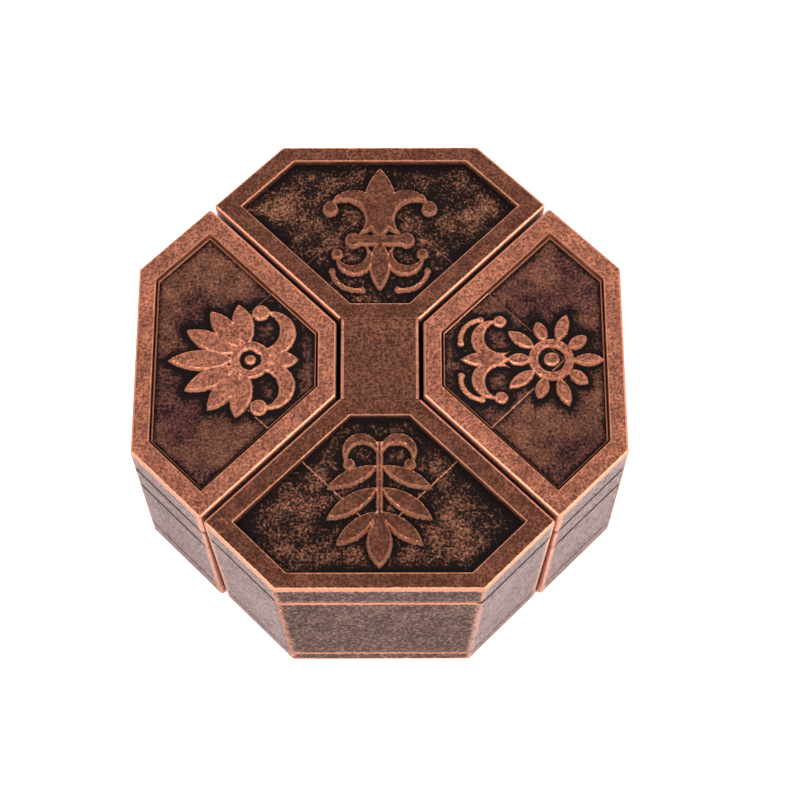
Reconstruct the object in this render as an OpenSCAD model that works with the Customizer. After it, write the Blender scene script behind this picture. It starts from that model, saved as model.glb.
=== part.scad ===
// Octagonal take-apart lock puzzle.
// Two interlocking castings: the north and south blocks hang from a bow-tie cap, and the east and west
// blocks stand on a bow-tie base. Four loose pins in the blocks shoot into the centre posts and lock
// them together. The model is drawn with every pin drawn back, so that the halves lift apart.

/* [Overall] */
// Distance across opposite outer flats
across_flats = 45; // [44:0.5:48]
// Height from the table to the top rims
height = 19.7; // [19:0.1:22]
// Width of the slit between the two halves
slit = 0.4; // [0.3:0.05:0.5]
// Lean of the slits in degrees, so that the halves part freely
slit_lean = 1.8; // [1:0.1:2]
// Draft of the east and west blocks' outer walls in degrees
stay_draft = 1; // [0:0.1:1.2]
// Draft of the north and south blocks' diagonal walls in degrees
lift_draft = 1.95; // [1:0.05:2]

/* [Rims and panels] */
// Rim width beside a slit
slit_rim = 1.95; // [1.6:0.05:2.4]
// Rim width along a diagonal outer flat
corner_rim = 2; // [1.6:0.05:2.4]
// Rim width along a straight outer flat
flat_rim = 1.7; // [1.4:0.05:2.2]
// Rim width towards the centre
tip_rim = 1.75; // [1.4:0.05:2.2]
// Depth of a cast panel below its rim
panel_depth = 0.75; // [0.5:0.05:1]
// Depth of an inlaid plate below its rim
inlay_depth = 0.45; // [0.3:0.05:0.6]
// Thickness of an inlaid plate
inlay_thick = 1.2; // [1:0.1:1.4]
// Groove round an inlaid plate
inlay_groove = 0.12; // [0.08:0.01:0.2]
// Half the width of the raised diamond that crosses all panels
diamond_half = 12; // [11:0.25:13]
// Height of the diamond above the rest of a panel
diamond_step = 0.15; // [0.1:0.01:0.2]
// Distance from the centre of the puzzle to the centre of an ornament
ornament_place = 13.6; // [13:0.1:14]

/* [Castings] */
// Thickness of the cap that joins the north and south blocks
cap_thick = 3.4; // [3:0.1:4]
// Thickness of the north and south feet
foot_thick = 2; // [1.6:0.1:2.2]
// Thickness of the base that joins the east and west blocks
base_thick = 2.3; // [2.1:0.1:2.6]
// Height of the seam under the east and west risers
riser_low = 12.3; // [12:0.1:12.6]
// Thickness of the east and west top frames
top_thick = 3.7; // [3.4:0.1:4]
// Width of the bridges and posts at the centre
neck_w = 7.2; // [7:0.1:7.6]
// Wall left round the hollow cores
core_wall = 2.2; // [2:0.1:2.6]
// Half the width of the rib between two cores
rib_half = 3.2; // [3:0.1:4]

/* [Lock pins] */
// Height of the north and south pins
low_pin_z = 4.9; // [4.8:0.1:5]
// Height of the east and west pins
high_pin_z = 9.5; // [9.4:0.1:9.6]
// Travel of a pin
pin_travel = 2.8; // [2.4:0.1:3]
// Radius of a pin's head
head_r = 1.5; // [1.4:0.05:1.5]
// Length of a pin's head
head_len = 3; // [2.5:0.1:3.5]
// Radius of a pin's nose
nose_r = 1.1; // [1:0.05:1.1]
// Radial clearance of a pin in its bore and bush
pin_fit = 0.05; // [0.03:0.01:0.08]
// Length of a retaining bush
bush_len = 1.5; // [1.2:0.1:1.8]
// Radius of a dowel
dowel_r = 1; // [0.8:0.1:1]

/* [Hidden] */
$fn = 64;

copper = "#9a5f45";
dark_copper = "#6d4233";
brown = "#54352b";
brass = "#b08d4a";
steel = "#8c8f94";

// Turns a block that points north so that it points another way
north = 0;
west = 90;
south = 180;
east = 270;

half = across_flats / 2;
neck = neck_w / 2;
tip = neck + slit;
reach = 2 * across_flats;
eps = 0.01;
cap_z = height - cap_thick;
top_z = height - top_thick;
plate_z = height - inlay_depth - inlay_thick;
foot_recess = 0.5;
base_recess = 0.75;
centre_recess = 0.12;
core_floor = 1.5;

bore_r = head_r + pin_fit;
bush_bore_r = nose_r + pin_fit;
socket_r = nose_r + 0.15;
post_split = (low_pin_z + high_pin_z) / 2;
post_gap = 0.4;
nose_rest = tip + 0.2;
nose_len = bush_len + pin_travel + pin_fit - 0.2;
bore_end = nose_rest + nose_len + head_len + 0.1;
dowel_fit = 0.01;
inner_dowel_y = 8;
mid_dowel_y = 14;
outer_dowel_y = 18;

// ---- Outlines ----

// A block's outline, pointing north: two sides beside the slits, two diagonal flats, the straight flat
// and the cut towards the centre. side is its distance from the diagonal, tip_y the place of the cut.
module block_outline(side, tip_y, corner = half, flat = half) {
    d = sqrt(2);
    right = [
        [tip_y - side * d, tip_y],
        [(corner - side) / d, (corner + side) / d],
        [corner * d - flat, flat],
    ];
    left = [for (i = [2:-1:0]) [-right[i].x, right[i].y]];
    polygon(concat(right, left));
}

// The outline inside the rims, shrunk by a margin
module panel_outline(margin = 0) {
    block_outline(
        slit / 2 + slit_rim + margin,
        tip + tip_rim + margin,
        half - corner_rim - margin,
        half - flat_rim - margin
    );
}

module diamond_outline() {
    rotate(45) square(2 * diamond_half, center = true);
}

// ---- Blocks ----

// What lies past the two slits of a block that points north
module past_slits(side, lean) {
    for (m = [0, 1]) mirror([m, 0, 0]) rotate([0, 0, 45])
        translate([0, side, height]) rotate([lean, 0, 0])
            translate([-reach, -reach, -reach]) cube([2 * reach, reach, 2 * reach]);
}

// What lies past one outer wall, which faces +X before it is turned
module past_wall(turn, place, draft) {
    rotate([0, 0, turn]) translate([place, 0, height]) rotate([0, draft, 0])
        translate([0, -reach, -reach]) cube([reach, 2 * reach, 2 * reach]);
}

// A solid block between two heights. The lean is positive on the half that lifts off.
module block(low, high, tip_y, lean, diagonal_draft, flat_draft) {
    difference() {
        translate([0, 0, low]) linear_extrude(high - low) block_outline(-1, tip_y);
        past_slits(slit / 2, lean);
        for (turn = [45, 135]) past_wall(turn, half, diagonal_draft);
        past_wall(90, half, flat_draft);
    }
}

module lift_block(low, high, tip_y = tip) {
    block(low, high, tip_y, slit_lean, lift_draft, 0);
}

module stay_block(low, high, tip_y = tip) {
    block(low, high, tip_y, -slit_lean, stay_draft, stay_draft);
}

// The hollow on both sides of a block's rib
module cores(low, high) {
    translate([0, 0, low]) linear_extrude(high - low) difference() {
        block_outline(slit / 2 + core_wall + 0.6, tip, half - core_wall - 0.4, half - core_wall);
        translate([-rib_half, 0]) square([2 * rib_half, half]);
    }
}

// A recess with the raised diamond left in it. It opens upwards from z.
module panel_recess(depth) {
    translate([0, 0, -depth + diamond_step]) linear_extrude(depth) panel_outline();
    translate([0, 0, -depth]) linear_extrude(depth) difference() {
        panel_outline();
        diamond_outline();
    }
}

// ---- Lock parts, drawn for the block that points north ----

module along_north(from_y, to_y, radius) {
    translate([0, from_y, 0]) rotate([-90, 0, 0]) cylinder(h = to_y - from_y, r = radius);
}

module pin_bore() {
    along_north(tip - 1, bore_end, bore_r);
}

module lock_pin() {
    color(steel) {
        along_north(nose_rest, nose_rest + nose_len + eps, nose_r);
        along_north(nose_rest + nose_len, nose_rest + nose_len + head_len, head_r);
    }
}

module bush() {
    color(brass) difference() {
        along_north(tip, tip + bush_len, bore_r);
        along_north(tip - 1, tip + bush_len + 1, bush_bore_r);
    }
}

// The socket bored through a post, along the way its pins travel
module socket() {
    along_north(-neck - 1, neck + 1, socket_r);
}

module upright(y, low, high, radius) {
    translate([0, y, low]) cylinder(h = high - low, r = radius);
}

// The dowels that join a lifting block's cap, leg and foot
module lift_dowels(radius) {
    for (y = [inner_dowel_y, outer_dowel_y]) upright(y, cap_z - 3, cap_z + 1.6, radius);
    for (y = [mid_dowel_y, outer_dowel_y]) upright(y, foot_thick - 1, foot_thick + 2.5, radius);
}

// The dowels that join a standing block's base, leg, riser and top frame
module stay_dowels(radius) {
    for (y = [mid_dowel_y, outer_dowel_y]) {
        upright(y, base_thick - 1.1, base_thick + 2.5, radius);
        upright(y, riser_low - 3, top_z + 1.4, radius);
    }
}

// ---- Ornaments ----
// Each is drawn round its own centre with its top outwards, and is the same left and right.

module both_sides() {
    children();
    mirror([1, 0]) children();
}

// A pointed leaf that grows from a point: the overlap of two discs
module leaf(x, y, wide, long, turn = 0) {
    bend = (long * long / wide + wide) / 4;
    translate([x, y]) rotate(turn) translate([0, long / 2]) intersection() {
        translate([wide / 2 - bend, 0]) circle(bend);
        translate([bend - wide / 2, 0]) circle(bend);
    }
}

// A pen stroke that swells from nothing and back: a disc less a smaller disc moved towards turn.
// A bead rounds off its second tip.
module swash(x, y, r, cut_r, shift, turn, bead) {
    tip_x = (r * r - cut_r * cut_r + shift * shift) / (2 * shift);
    translate([x, y]) rotate(turn) {
        difference() {
            circle(r);
            translate([shift, 0]) circle(cut_r);
        }
        translate([tip_x, sqrt(r * r - tip_x * tip_x)]) circle(bead);
    }
}

// A hairline along part of a circle, less than half of it, with a bead on both ends
module hair(x, y, r, wide, from, to) {
    mid = (from + to) / 2;
    far = 4 * r;
    translate([x, y]) {
        intersection() {
            difference() {
                circle(r + wide / 2);
                circle(r - wide / 2);
            }
            polygon([[0, 0], for (a = [from, mid, to]) far * [cos(a), sin(a)]]);
        }
        for (a = [from, to]) translate(r * [cos(a), sin(a)]) circle(0.7 * wide);
    }
}

module dot(x, y, r) {
    translate([x, y]) circle(r);
}

// Lily: a pointed petal between two curled ones, held by a band
module lily() {
    leaf(0, -1, 3.2, 7.7);
    leaf(0, -1, 2, 5.4, 180);
    translate([0, -1.1]) square([5, 1.1], center = true);
    both_sides() {
        dot(-2.5, -1.1, 0.8);
        swash(-2.5, 1.9, 2.45, 2, 1.15, 220, 0.01);
        dot(-4.7, 2.35, 0.75);
        swash(-2.35, -3.1, 1.75, 1.4, 0.8, 110, 0.55);
        hair(-2.15, -4, 2.35, 0.45, 188, 282);
    }
}

// Sun: a ring with rays, over two scrolls
module sun() {
    rays = 10;
    translate([0, 2.2]) {
        difference() {
            circle(2.1);
            circle(1.25);
        }
        circle(0.7);
        for (i = [0:rays - 1]) rotate(i * 360 / rays)
            leaf(0, 1.9, 1.25, i % 2 == 0 ? 3 : 2.2);
    }
    leaf(0, -1.6, 1.6, 4.6, 180);
    both_sides() {
        swash(-2.05, -3.2, 1.95, 1.6, 0.85, 105, 0.6);
        hair(-2, -4.1, 2.05, 0.45, 185, 280);
    }
}

// Sprig: a stem with pairs of leaves over two curls
module sprig() {
    translate([0, -1.2]) square([0.6, 8.6], center = true);
    leaf(0, 1.8, 2.3, 4.8);
    dot(0, 2.1, 0.75);
    both_sides() {
        leaf(-0.1, 1.3, 1.7, 5, 50);
        leaf(-0.1, -1, 1.8, 5.6, 57);
        leaf(-0.1, -3.1, 1.6, 5.2, 65);
        swash(-1.7, -4.6, 1.7, 1.35, 0.75, 78, 0.55);
    }
}

// Shell: a fan of petals over two heavy scrolls
module shell() {
    fan = [27, 53, 78];
    hub_y = -1.7;
    leaf(0, hub_y + 1.4, 2.1, 6.2);
    leaf(0, hub_y - 1.4, 1.7, 3, 180);
    difference() {
        dot(0, hub_y, 1.9);
        dot(0, hub_y, 1);
    }
    dot(0, hub_y, 0.5);
    both_sides() {
        for (a = fan) translate([0, hub_y]) rotate(a) leaf(0, 1.4, 2, 5.8 - a / 60);
        swash(-2.65, -3.5, 2.35, 1.85, 1, 108, 0.8);
    }
}

module raised(low, high) {
    translate([0, ornament_place, low]) linear_extrude(high - low) children();
}

// ---- North-south half ----

// Cap, bridge and hanging post, cast in one piece
module ns_cap() {
    color(copper) {
        difference() {
            union() {
                for (way = [north, south]) rotate([0, 0, way]) lift_block(cap_z, height, neck);
                translate([-neck, -tip, cap_z]) cube([neck_w, 2 * tip, cap_thick]);
                translate([-neck, -neck, post_split + post_gap / 2])
                    cube([neck_w, neck_w, height - cap_thick - post_split]);
            }
            for (way = [north, south]) rotate([0, 0, way]) {
                translate([0, 0, height]) panel_recess(panel_depth);
                lift_dowels(dowel_r + dowel_fit);
            }
            translate([-neck + 0.3, -tip, height - centre_recess]) cube([neck_w - 0.6, 2 * tip, 1]);
            translate([0, 0, high_pin_z]) rotate([0, 0, east]) socket();
        }
        raised(height - panel_depth - eps, height - 0.1) lily();
        rotate([0, 0, south]) raised(height - panel_depth - eps, height - 0.1) sprig();
    }
}

module lift_leg() {
    color(dark_copper) difference() {
        lift_block(foot_thick, cap_z);
        cores(foot_thick + core_floor, cap_z + 1);
        translate([0, 0, low_pin_z]) pin_bore();
        lift_dowels(dowel_r + dowel_fit);
    }
}

module lift_foot() {
    color(copper) difference() {
        lift_block(0, foot_thick);
        mirror([0, 0, 1]) panel_recess(foot_recess);
        lift_dowels(dowel_r + dowel_fit);
    }
}

module ns_dowels() {
    color(steel) for (way = [north, south]) rotate([0, 0, way]) lift_dowels(dowel_r);
}

// ---- East-west half ----

// Base, bridge and standing post, cast in one piece
module ew_base() {
    color(copper) difference() {
        union() {
            for (way = [east, west]) rotate([0, 0, way]) stay_block(0, base_thick, neck - 0.6);
            translate([-neck, -neck, 0]) cube([neck_w, neck_w, post_split - post_gap / 2]);
        }
        for (way = [east, west]) rotate([0, 0, way]) {
            mirror([0, 0, 1]) panel_recess(base_recess);
            stay_dowels(dowel_r + dowel_fit);
        }
        translate([0, 0, low_pin_z]) socket();
    }
}

module stay_leg() {
    color(dark_copper) difference() {
        stay_block(base_thick, riser_low);
        cores(base_thick + core_floor, riser_low + 1);
        translate([0, 0, high_pin_z]) pin_bore();
        stay_dowels(dowel_r + dowel_fit);
    }
}

module riser() {
    color(dark_copper) difference() {
        stay_block(riser_low, top_z);
        cores(riser_low - 1, top_z + 1);
        stay_dowels(dowel_r + dowel_fit);
    }
}

module top_frame() {
    color(copper) difference() {
        stay_block(top_z, height);
        translate([0, 0, plate_z]) linear_extrude(height) panel_outline();
        stay_dowels(dowel_r + dowel_fit);
    }
}

module inlay_plate() {
    color(brown) difference() {
        translate([0, 0, plate_z]) linear_extrude(inlay_thick + diamond_step) panel_outline(inlay_groove);
        translate([0, 0, height - inlay_depth]) linear_extrude(1) difference() {
            panel_outline();
            diamond_outline();
        }
    }
    color(copper) raised(height - inlay_depth - eps, height - 0.05) children();
}

module ew_dowels() {
    color(steel) for (way = [east, west]) rotate([0, 0, way]) stay_dowels(dowel_r);
}

// ---- Nodes ----

ns_cap();
rotate([0, 0, north]) lift_leg();  // north_leg
rotate([0, 0, south]) lift_leg();  // south_leg
rotate([0, 0, north]) lift_foot();  // north_foot
rotate([0, 0, south]) lift_foot();  // south_foot
rotate([0, 0, north]) translate([0, 0, low_pin_z]) bush();  // north_bush
rotate([0, 0, south]) translate([0, 0, low_pin_z]) bush();  // south_bush
ns_dowels();
rotate([0, 0, north]) translate([0, 0, low_pin_z]) lock_pin();  // north_pin
rotate([0, 0, south]) translate([0, 0, low_pin_z]) lock_pin();  // south_pin
ew_base();
rotate([0, 0, east]) stay_leg();  // east_leg
rotate([0, 0, west]) stay_leg();  // west_leg
rotate([0, 0, east]) riser();  // east_riser
rotate([0, 0, west]) riser();  // west_riser
rotate([0, 0, east]) top_frame();  // east_top
rotate([0, 0, west]) top_frame();  // west_top
rotate([0, 0, east]) inlay_plate() sun();  // east_plate
rotate([0, 0, west]) inlay_plate() shell();  // west_plate
rotate([0, 0, east]) translate([0, 0, high_pin_z]) bush();  // east_bush
rotate([0, 0, west]) translate([0, 0, high_pin_z]) bush();  // west_bush
ew_dowels();
rotate([0, 0, east]) translate([0, 0, high_pin_z]) lock_pin();  // east_pin
rotate([0, 0, west]) translate([0, 0, high_pin_z]) lock_pin();  // west_pin
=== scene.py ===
import math

import bmesh
import bpy
import numpy as np
from bpy.props import FloatProperty, FloatVectorProperty, PointerProperty
from bpy.types import Operator, Panel, PropertyGroup
from mathutils import Matrix, Vector


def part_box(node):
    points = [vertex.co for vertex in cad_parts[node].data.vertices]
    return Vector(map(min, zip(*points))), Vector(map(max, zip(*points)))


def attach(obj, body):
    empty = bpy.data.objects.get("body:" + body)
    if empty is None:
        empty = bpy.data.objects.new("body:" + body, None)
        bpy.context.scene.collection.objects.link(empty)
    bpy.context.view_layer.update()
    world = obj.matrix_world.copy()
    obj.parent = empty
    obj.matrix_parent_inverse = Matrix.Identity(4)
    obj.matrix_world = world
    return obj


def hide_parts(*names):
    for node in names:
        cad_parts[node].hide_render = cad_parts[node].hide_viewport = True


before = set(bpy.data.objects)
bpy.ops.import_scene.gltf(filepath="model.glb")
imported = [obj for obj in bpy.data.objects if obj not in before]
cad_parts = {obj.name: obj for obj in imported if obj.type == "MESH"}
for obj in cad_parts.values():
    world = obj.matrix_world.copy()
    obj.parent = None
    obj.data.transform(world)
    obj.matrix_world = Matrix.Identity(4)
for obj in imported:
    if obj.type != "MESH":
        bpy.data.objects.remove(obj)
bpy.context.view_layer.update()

bl_info = {
    "name": "Octagonal Lock Puzzle",
    "version": (1, 0, 0),
    "blender": (4, 5, 0),
    "location": "View3D > Sidebar > Puzzle",
    "description": "Builds a take-apart lock puzzle of antique copper castings",
    "category": "Add Mesh",
}

MM = 0.001
ROOT2 = math.sqrt(2)


def span(node):
    """Lowest and highest corner of a CAD node, in millimetres."""
    low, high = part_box(node)
    return np.array(low) / MM, np.array(high) / MM


HEIGHT = span("ns_cap")[1][2]
HALF = span("ns_cap")[1][1]
CAP_Z = span("north_leg")[1][2]
FOOT_Z = span("north_foot")[1][2]
BASE_Z = span("east_leg")[0][2]
RISER_Z = span("east_riser")[0][2]
TOP_Z = span("east_top")[0][2]
PLATE_Z = span("east_plate")[0][2]
TIP = span("north_leg")[0][1]
LOW_PIN_Z = float(np.mean([span("north_pin")[i][2] for i in (0, 1)]))
HIGH_PIN_Z = float(np.mean([span("east_pin")[i][2] for i in (0, 1)]))
POST_LOW = span("ew_base")[1][2]
POST_HIGH = span("ns_cap")[0][2]

# How much patina the straight outer walls keep. It also gives them the darker brown of the painted wall
# sheen, which is painted shade.
FLAT_SOOT_AND_SHADE = 0.3
# The face value of side walls. It is 1 on rims and ornament tops and 0 on sunken floors.
SIDE = -1.0
# Closer than this to a corner, in millimetres, a rim point counts as the corner
NEAR = 3e-4
# The round marks that ejector pins leave on a rim: x, y and radius on a block that points north
NORTH_MARK = (-2.6, 21.7, 0.5)
SOUTH_MARK = (14.2, 16.4, 0.6)
# Radii of the sockets through the posts and of the bores in the legs, and how far a bore runs in
SOCKET_R = 1.25
BORE_R = 1.56
BORE_DEPTH = 7.6
# Rounding of a casting's edge where it meets another at a seam, and of an underside's outer edge
SEAM_ROUND = 0.12
UNDER_ROUND = 0.25

# Which way a block that is drawn pointing north is turned, in degrees
WAYS = {"north": 0, "west": 90, "south": 180, "east": 270}


# ---------------------------------------------------------------- settings


class PuzzleSizes(PropertyGroup):
    """Sizes of the castings, in millimetres."""

    slit: FloatProperty(name="Slit", description="Gap between the two halves", default=0.4)
    slit_lean: FloatProperty(name="Slit lean", description="Lean of the slits in degrees", default=1.8)
    stay_draft: FloatProperty(
        name="Standing draft", description="Draft of the east and west walls", default=1.0,
    )
    lift_draft: FloatProperty(
        name="Lifting draft", description="Draft of the north and south diagonals", default=1.95,
    )
    neck: FloatProperty(name="Neck", description="Half the width of the centre bridge", default=3.6)
    slit_rim: FloatProperty(name="Slit rim", description="Rim width beside a slit", default=1.95)
    corner_rim: FloatProperty(name="Corner rim", description="Rim width along a diagonal flat", default=2.0)
    flat_rim: FloatProperty(name="Flat rim", description="Rim width along a straight flat", default=1.7)
    tip_rim: FloatProperty(name="Tip rim", description="Rim width towards the centre", default=1.75)
    panel_depth: FloatProperty(name="Panel depth", description="Depth of a cast panel", default=0.75)
    inlay_depth: FloatProperty(name="Inlay depth", description="Depth of an inlaid plate", default=0.45)
    inlay_groove: FloatProperty(name="Inlay groove", description="Groove round an inlaid plate", default=0.12)
    diamond_half: FloatProperty(
        name="Diamond", description="Half the width of the raised diamond", default=12.0,
    )
    diamond_step: FloatProperty(name="Diamond step", description="Height of the raised diamond", default=0.15)
    ornament_place: FloatProperty(name="Ornament place", description="Centre to ornament", default=13.6)
    edge_round: FloatProperty(name="Edge round", description="Rounding of the outer edges", default=0.3)
    grid: FloatProperty(name="Grid", description="Mesh size of the ornamented faces", default=0.12)


class PuzzleColours(PropertyGroup):
    """Colours of the finishes, as sRGB."""

    rubbed: FloatVectorProperty(
        name="Rubbed copper", description="Copper laid bare on the edges", subtype="COLOR_GAMMA",
        size=3, min=0, max=1, default=(0.82, 0.55, 0.43),
    )
    copper: FloatVectorProperty(
        name="Aged copper", description="Copper plate on rims and ornaments", subtype="COLOR_GAMMA",
        size=3, min=0, max=1, default=(0.66, 0.41, 0.32),
    )
    patina: FloatVectorProperty(
        name="Patina", description="Dark patina left in the hollows", subtype="COLOR_GAMMA",
        size=3, min=0, max=1, default=(0.07, 0.045, 0.045),
    )


# ---------------------------------------------------------------- outlines


def block_corners(side, tip, corner, flat):
    """The six corners of a block that points north, counter-clockwise from the right end of its tip."""
    right = [
        (tip - side * ROOT2, tip),
        ((corner - side) / ROOT2, (corner + side) / ROOT2),
        (corner * ROOT2 - flat, flat),
    ]
    left = [(-x, y) for x, y in reversed(right)]
    return np.array(right + left)


# Outward, edge by edge: slit, diagonal, straight wall, diagonal, slit and tip
EDGE_NORMALS = np.array(
    [(1, -1), (1, 1), (0, ROOT2), (-1, 1), (-1, -1), (0, -ROOT2)]
) / ROOT2
STRAIGHT_EDGE = 2
TIP_EDGE = 5


def block_distance(x, y, side, tip, corner, flat):
    """Signed distance to a block's outline, negative inside."""
    ax = np.abs(x)
    return np.maximum.reduce([
        side - (y - ax) / ROOT2,
        (y + ax) / ROOT2 - corner,
        y - flat,
        tip - y,
    ])


class Draft:
    """The outline of one block at any height: its slits lean and its outer walls draft inwards.

    The lifting blocks have straight walls without draft; the standing ones draft all round.
    """

    def __init__(self, lifts, tip, sizes):
        self.lean = math.tan(math.radians(sizes.slit_lean if lifts else -sizes.slit_lean))
        self.draft = math.tan(math.radians(sizes.lift_draft if lifts else sizes.stay_draft))
        self.flat_draft = 0.0 if lifts else self.draft
        self.tip = tip
        self.side = sizes.slit / 2

    def corners(self, z, inset):
        down = HEIGHT - z
        outer = HALF - down * self.draft - inset
        flat = HALF - down * self.flat_draft - inset
        return block_corners(self.side + down * self.lean + inset, self.tip + inset, outer, flat)


class Fixed:
    """An outline that is the same at every height, such as an inlaid plate's."""

    def __init__(self, side, tip, corner, flat):
        self.values = (side, tip, corner, flat)

    def corners(self, z, inset):
        side, tip, corner, flat = self.values
        return block_corners(side + inset, tip + inset, corner - inset, flat - inset)


def panel_values(sizes, margin=0.0):
    """side, tip, corner and flat of the outline inside the rims."""
    return (
        sizes.slit / 2 + sizes.slit_rim + margin,
        TIP + sizes.tip_rim + margin,
        HALF - sizes.corner_rim - margin,
        HALF - sizes.flat_rim - margin,
    )


# ---------------------------------------------------------------- ornaments, as distances


def disc(x, y, cx, cy, r):
    return np.hypot(x - cx, y - cy) - r


def turned(x, y, cx, cy, degrees):
    """Coordinates in a frame at (cx, cy) that is turned by an angle."""
    a = math.radians(degrees)
    dx, dy = x - cx, y - cy
    return dx * math.cos(a) + dy * math.sin(a), dy * math.cos(a) - dx * math.sin(a)


def leaf(x, y, cx, cy, wide, long, turn=0):
    """A pointed leaf that grows from a point: the overlap of two discs."""
    bend = (long * long / wide + wide) / 4
    px, py = turned(x, y, cx, cy, turn)
    middle = long / 2
    return np.maximum(
        disc(px, py, wide / 2 - bend, middle, bend),
        disc(px, py, bend - wide / 2, middle, bend),
    )


def swash(x, y, cx, cy, r, cut_r, shift, turn, bead):
    """A pen stroke that swells from nothing and back, with a bead on its second tip."""
    px, py = turned(x, y, cx, cy, turn)
    tip_x = (r * r - cut_r * cut_r + shift * shift) / (2 * shift)
    stroke = np.maximum(disc(px, py, 0, 0, r), -disc(px, py, shift, 0, cut_r))
    return np.minimum(stroke, disc(px, py, tip_x, math.sqrt(r * r - tip_x * tip_x), bead))


def hair(x, y, cx, cy, r, wide, start, stop):
    """A hairline along part of a circle, with a bead on both ends."""
    px, py = turned(x, y, cx, cy, (start + stop) / 2)
    half_angle = math.radians(stop - start) / 2
    angle = np.clip(np.arctan2(py, px), -half_angle, half_angle)
    line = np.hypot(px - r * np.cos(angle), py - r * np.sin(angle)) - wide / 2
    ends = [
        disc(px, py, r * math.cos(a), r * math.sin(a), 0.7 * wide)
        for a in (-half_angle, half_angle)
    ]
    return np.minimum.reduce([line, *ends])


def bar(x, y, cx, cy, wide, high):
    return np.maximum(np.abs(x - cx) - wide / 2, np.abs(y - cy) - high / 2)


def lily(x, y):
    """A pointed petal between two curled ones, held by a band."""
    ax = -np.abs(x)
    return np.minimum.reduce([
        leaf(x, y, 0, -1, 3.2, 7.7),
        leaf(x, y, 0, -1, 2, 5.4, 180),
        bar(x, y, 0, -1.1, 5, 1.1),
        disc(ax, y, -2.5, -1.1, 0.8),
        swash(ax, y, -2.5, 1.9, 2.45, 2, 1.15, 220, 0.01),
        disc(ax, y, -4.7, 2.35, 0.75),
        swash(ax, y, -2.35, -3.1, 1.75, 1.4, 0.8, 110, 0.55),
        hair(ax, y, -2.15, -4, 2.35, 0.45, 188, 282),
    ])


def sun(x, y):
    """A ring with rays, over two scrolls."""
    ax = -np.abs(x)
    rays = 10
    parts = [
        np.maximum(disc(x, y, 0, 2.2, 2.1), -disc(x, y, 0, 2.2, 1.25)),
        disc(x, y, 0, 2.2, 0.7),
        leaf(x, y, 0, -1.6, 1.6, 4.6, 180),
        swash(ax, y, -2.05, -3.2, 1.95, 1.6, 0.85, 105, 0.6),
        hair(ax, y, -2, -4.1, 2.05, 0.45, 185, 280),
    ]
    for i in range(rays):
        px, py = turned(x, y, 0, 2.2, i * 360 / rays)
        parts.append(leaf(px, py, 0, 1.9, 1.25, 3 if i % 2 == 0 else 2.2))
    return np.minimum.reduce(parts)


def sprig(x, y):
    """A stem with pairs of leaves over two curls."""
    ax = -np.abs(x)
    return np.minimum.reduce([
        bar(x, y, 0, -1.2, 0.6, 8.6),
        leaf(x, y, 0, 1.8, 2.3, 4.8),
        disc(x, y, 0, 2.1, 0.75),
        leaf(ax, y, -0.1, 1.3, 1.7, 5, 50),
        leaf(ax, y, -0.1, -1, 1.8, 5.6, 57),
        leaf(ax, y, -0.1, -3.1, 1.6, 5.2, 65),
        swash(ax, y, -1.7, -4.6, 1.7, 1.35, 0.75, 78, 0.55),
    ])


def shell(x, y):
    """A fan of petals over two heavy scrolls."""
    ax = -np.abs(x)
    hub_y = -1.7
    parts = [
        leaf(x, y, 0, hub_y + 1.4, 2.1, 6.2),
        leaf(x, y, 0, hub_y - 1.4, 1.7, 3, 180),
        np.maximum(disc(x, y, 0, hub_y, 1.9), -disc(x, y, 0, hub_y, 1)),
        disc(x, y, 0, hub_y, 0.5),
        swash(ax, y, -2.65, -3.5, 2.35, 1.85, 1, 108, 0.8),
    ]
    for angle in (27, 53, 78):
        px, py = turned(ax, y, 0, hub_y, angle)
        parts.append(leaf(px, py, 0, 1.4, 2, 5.8 - angle / 60))
    return np.minimum.reduce(parts)


# ---------------------------------------------------------------- castings


def smooth(t):
    t = np.clip(t, 0, 1)
    return t * t * (3 - 2 * t)


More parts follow.
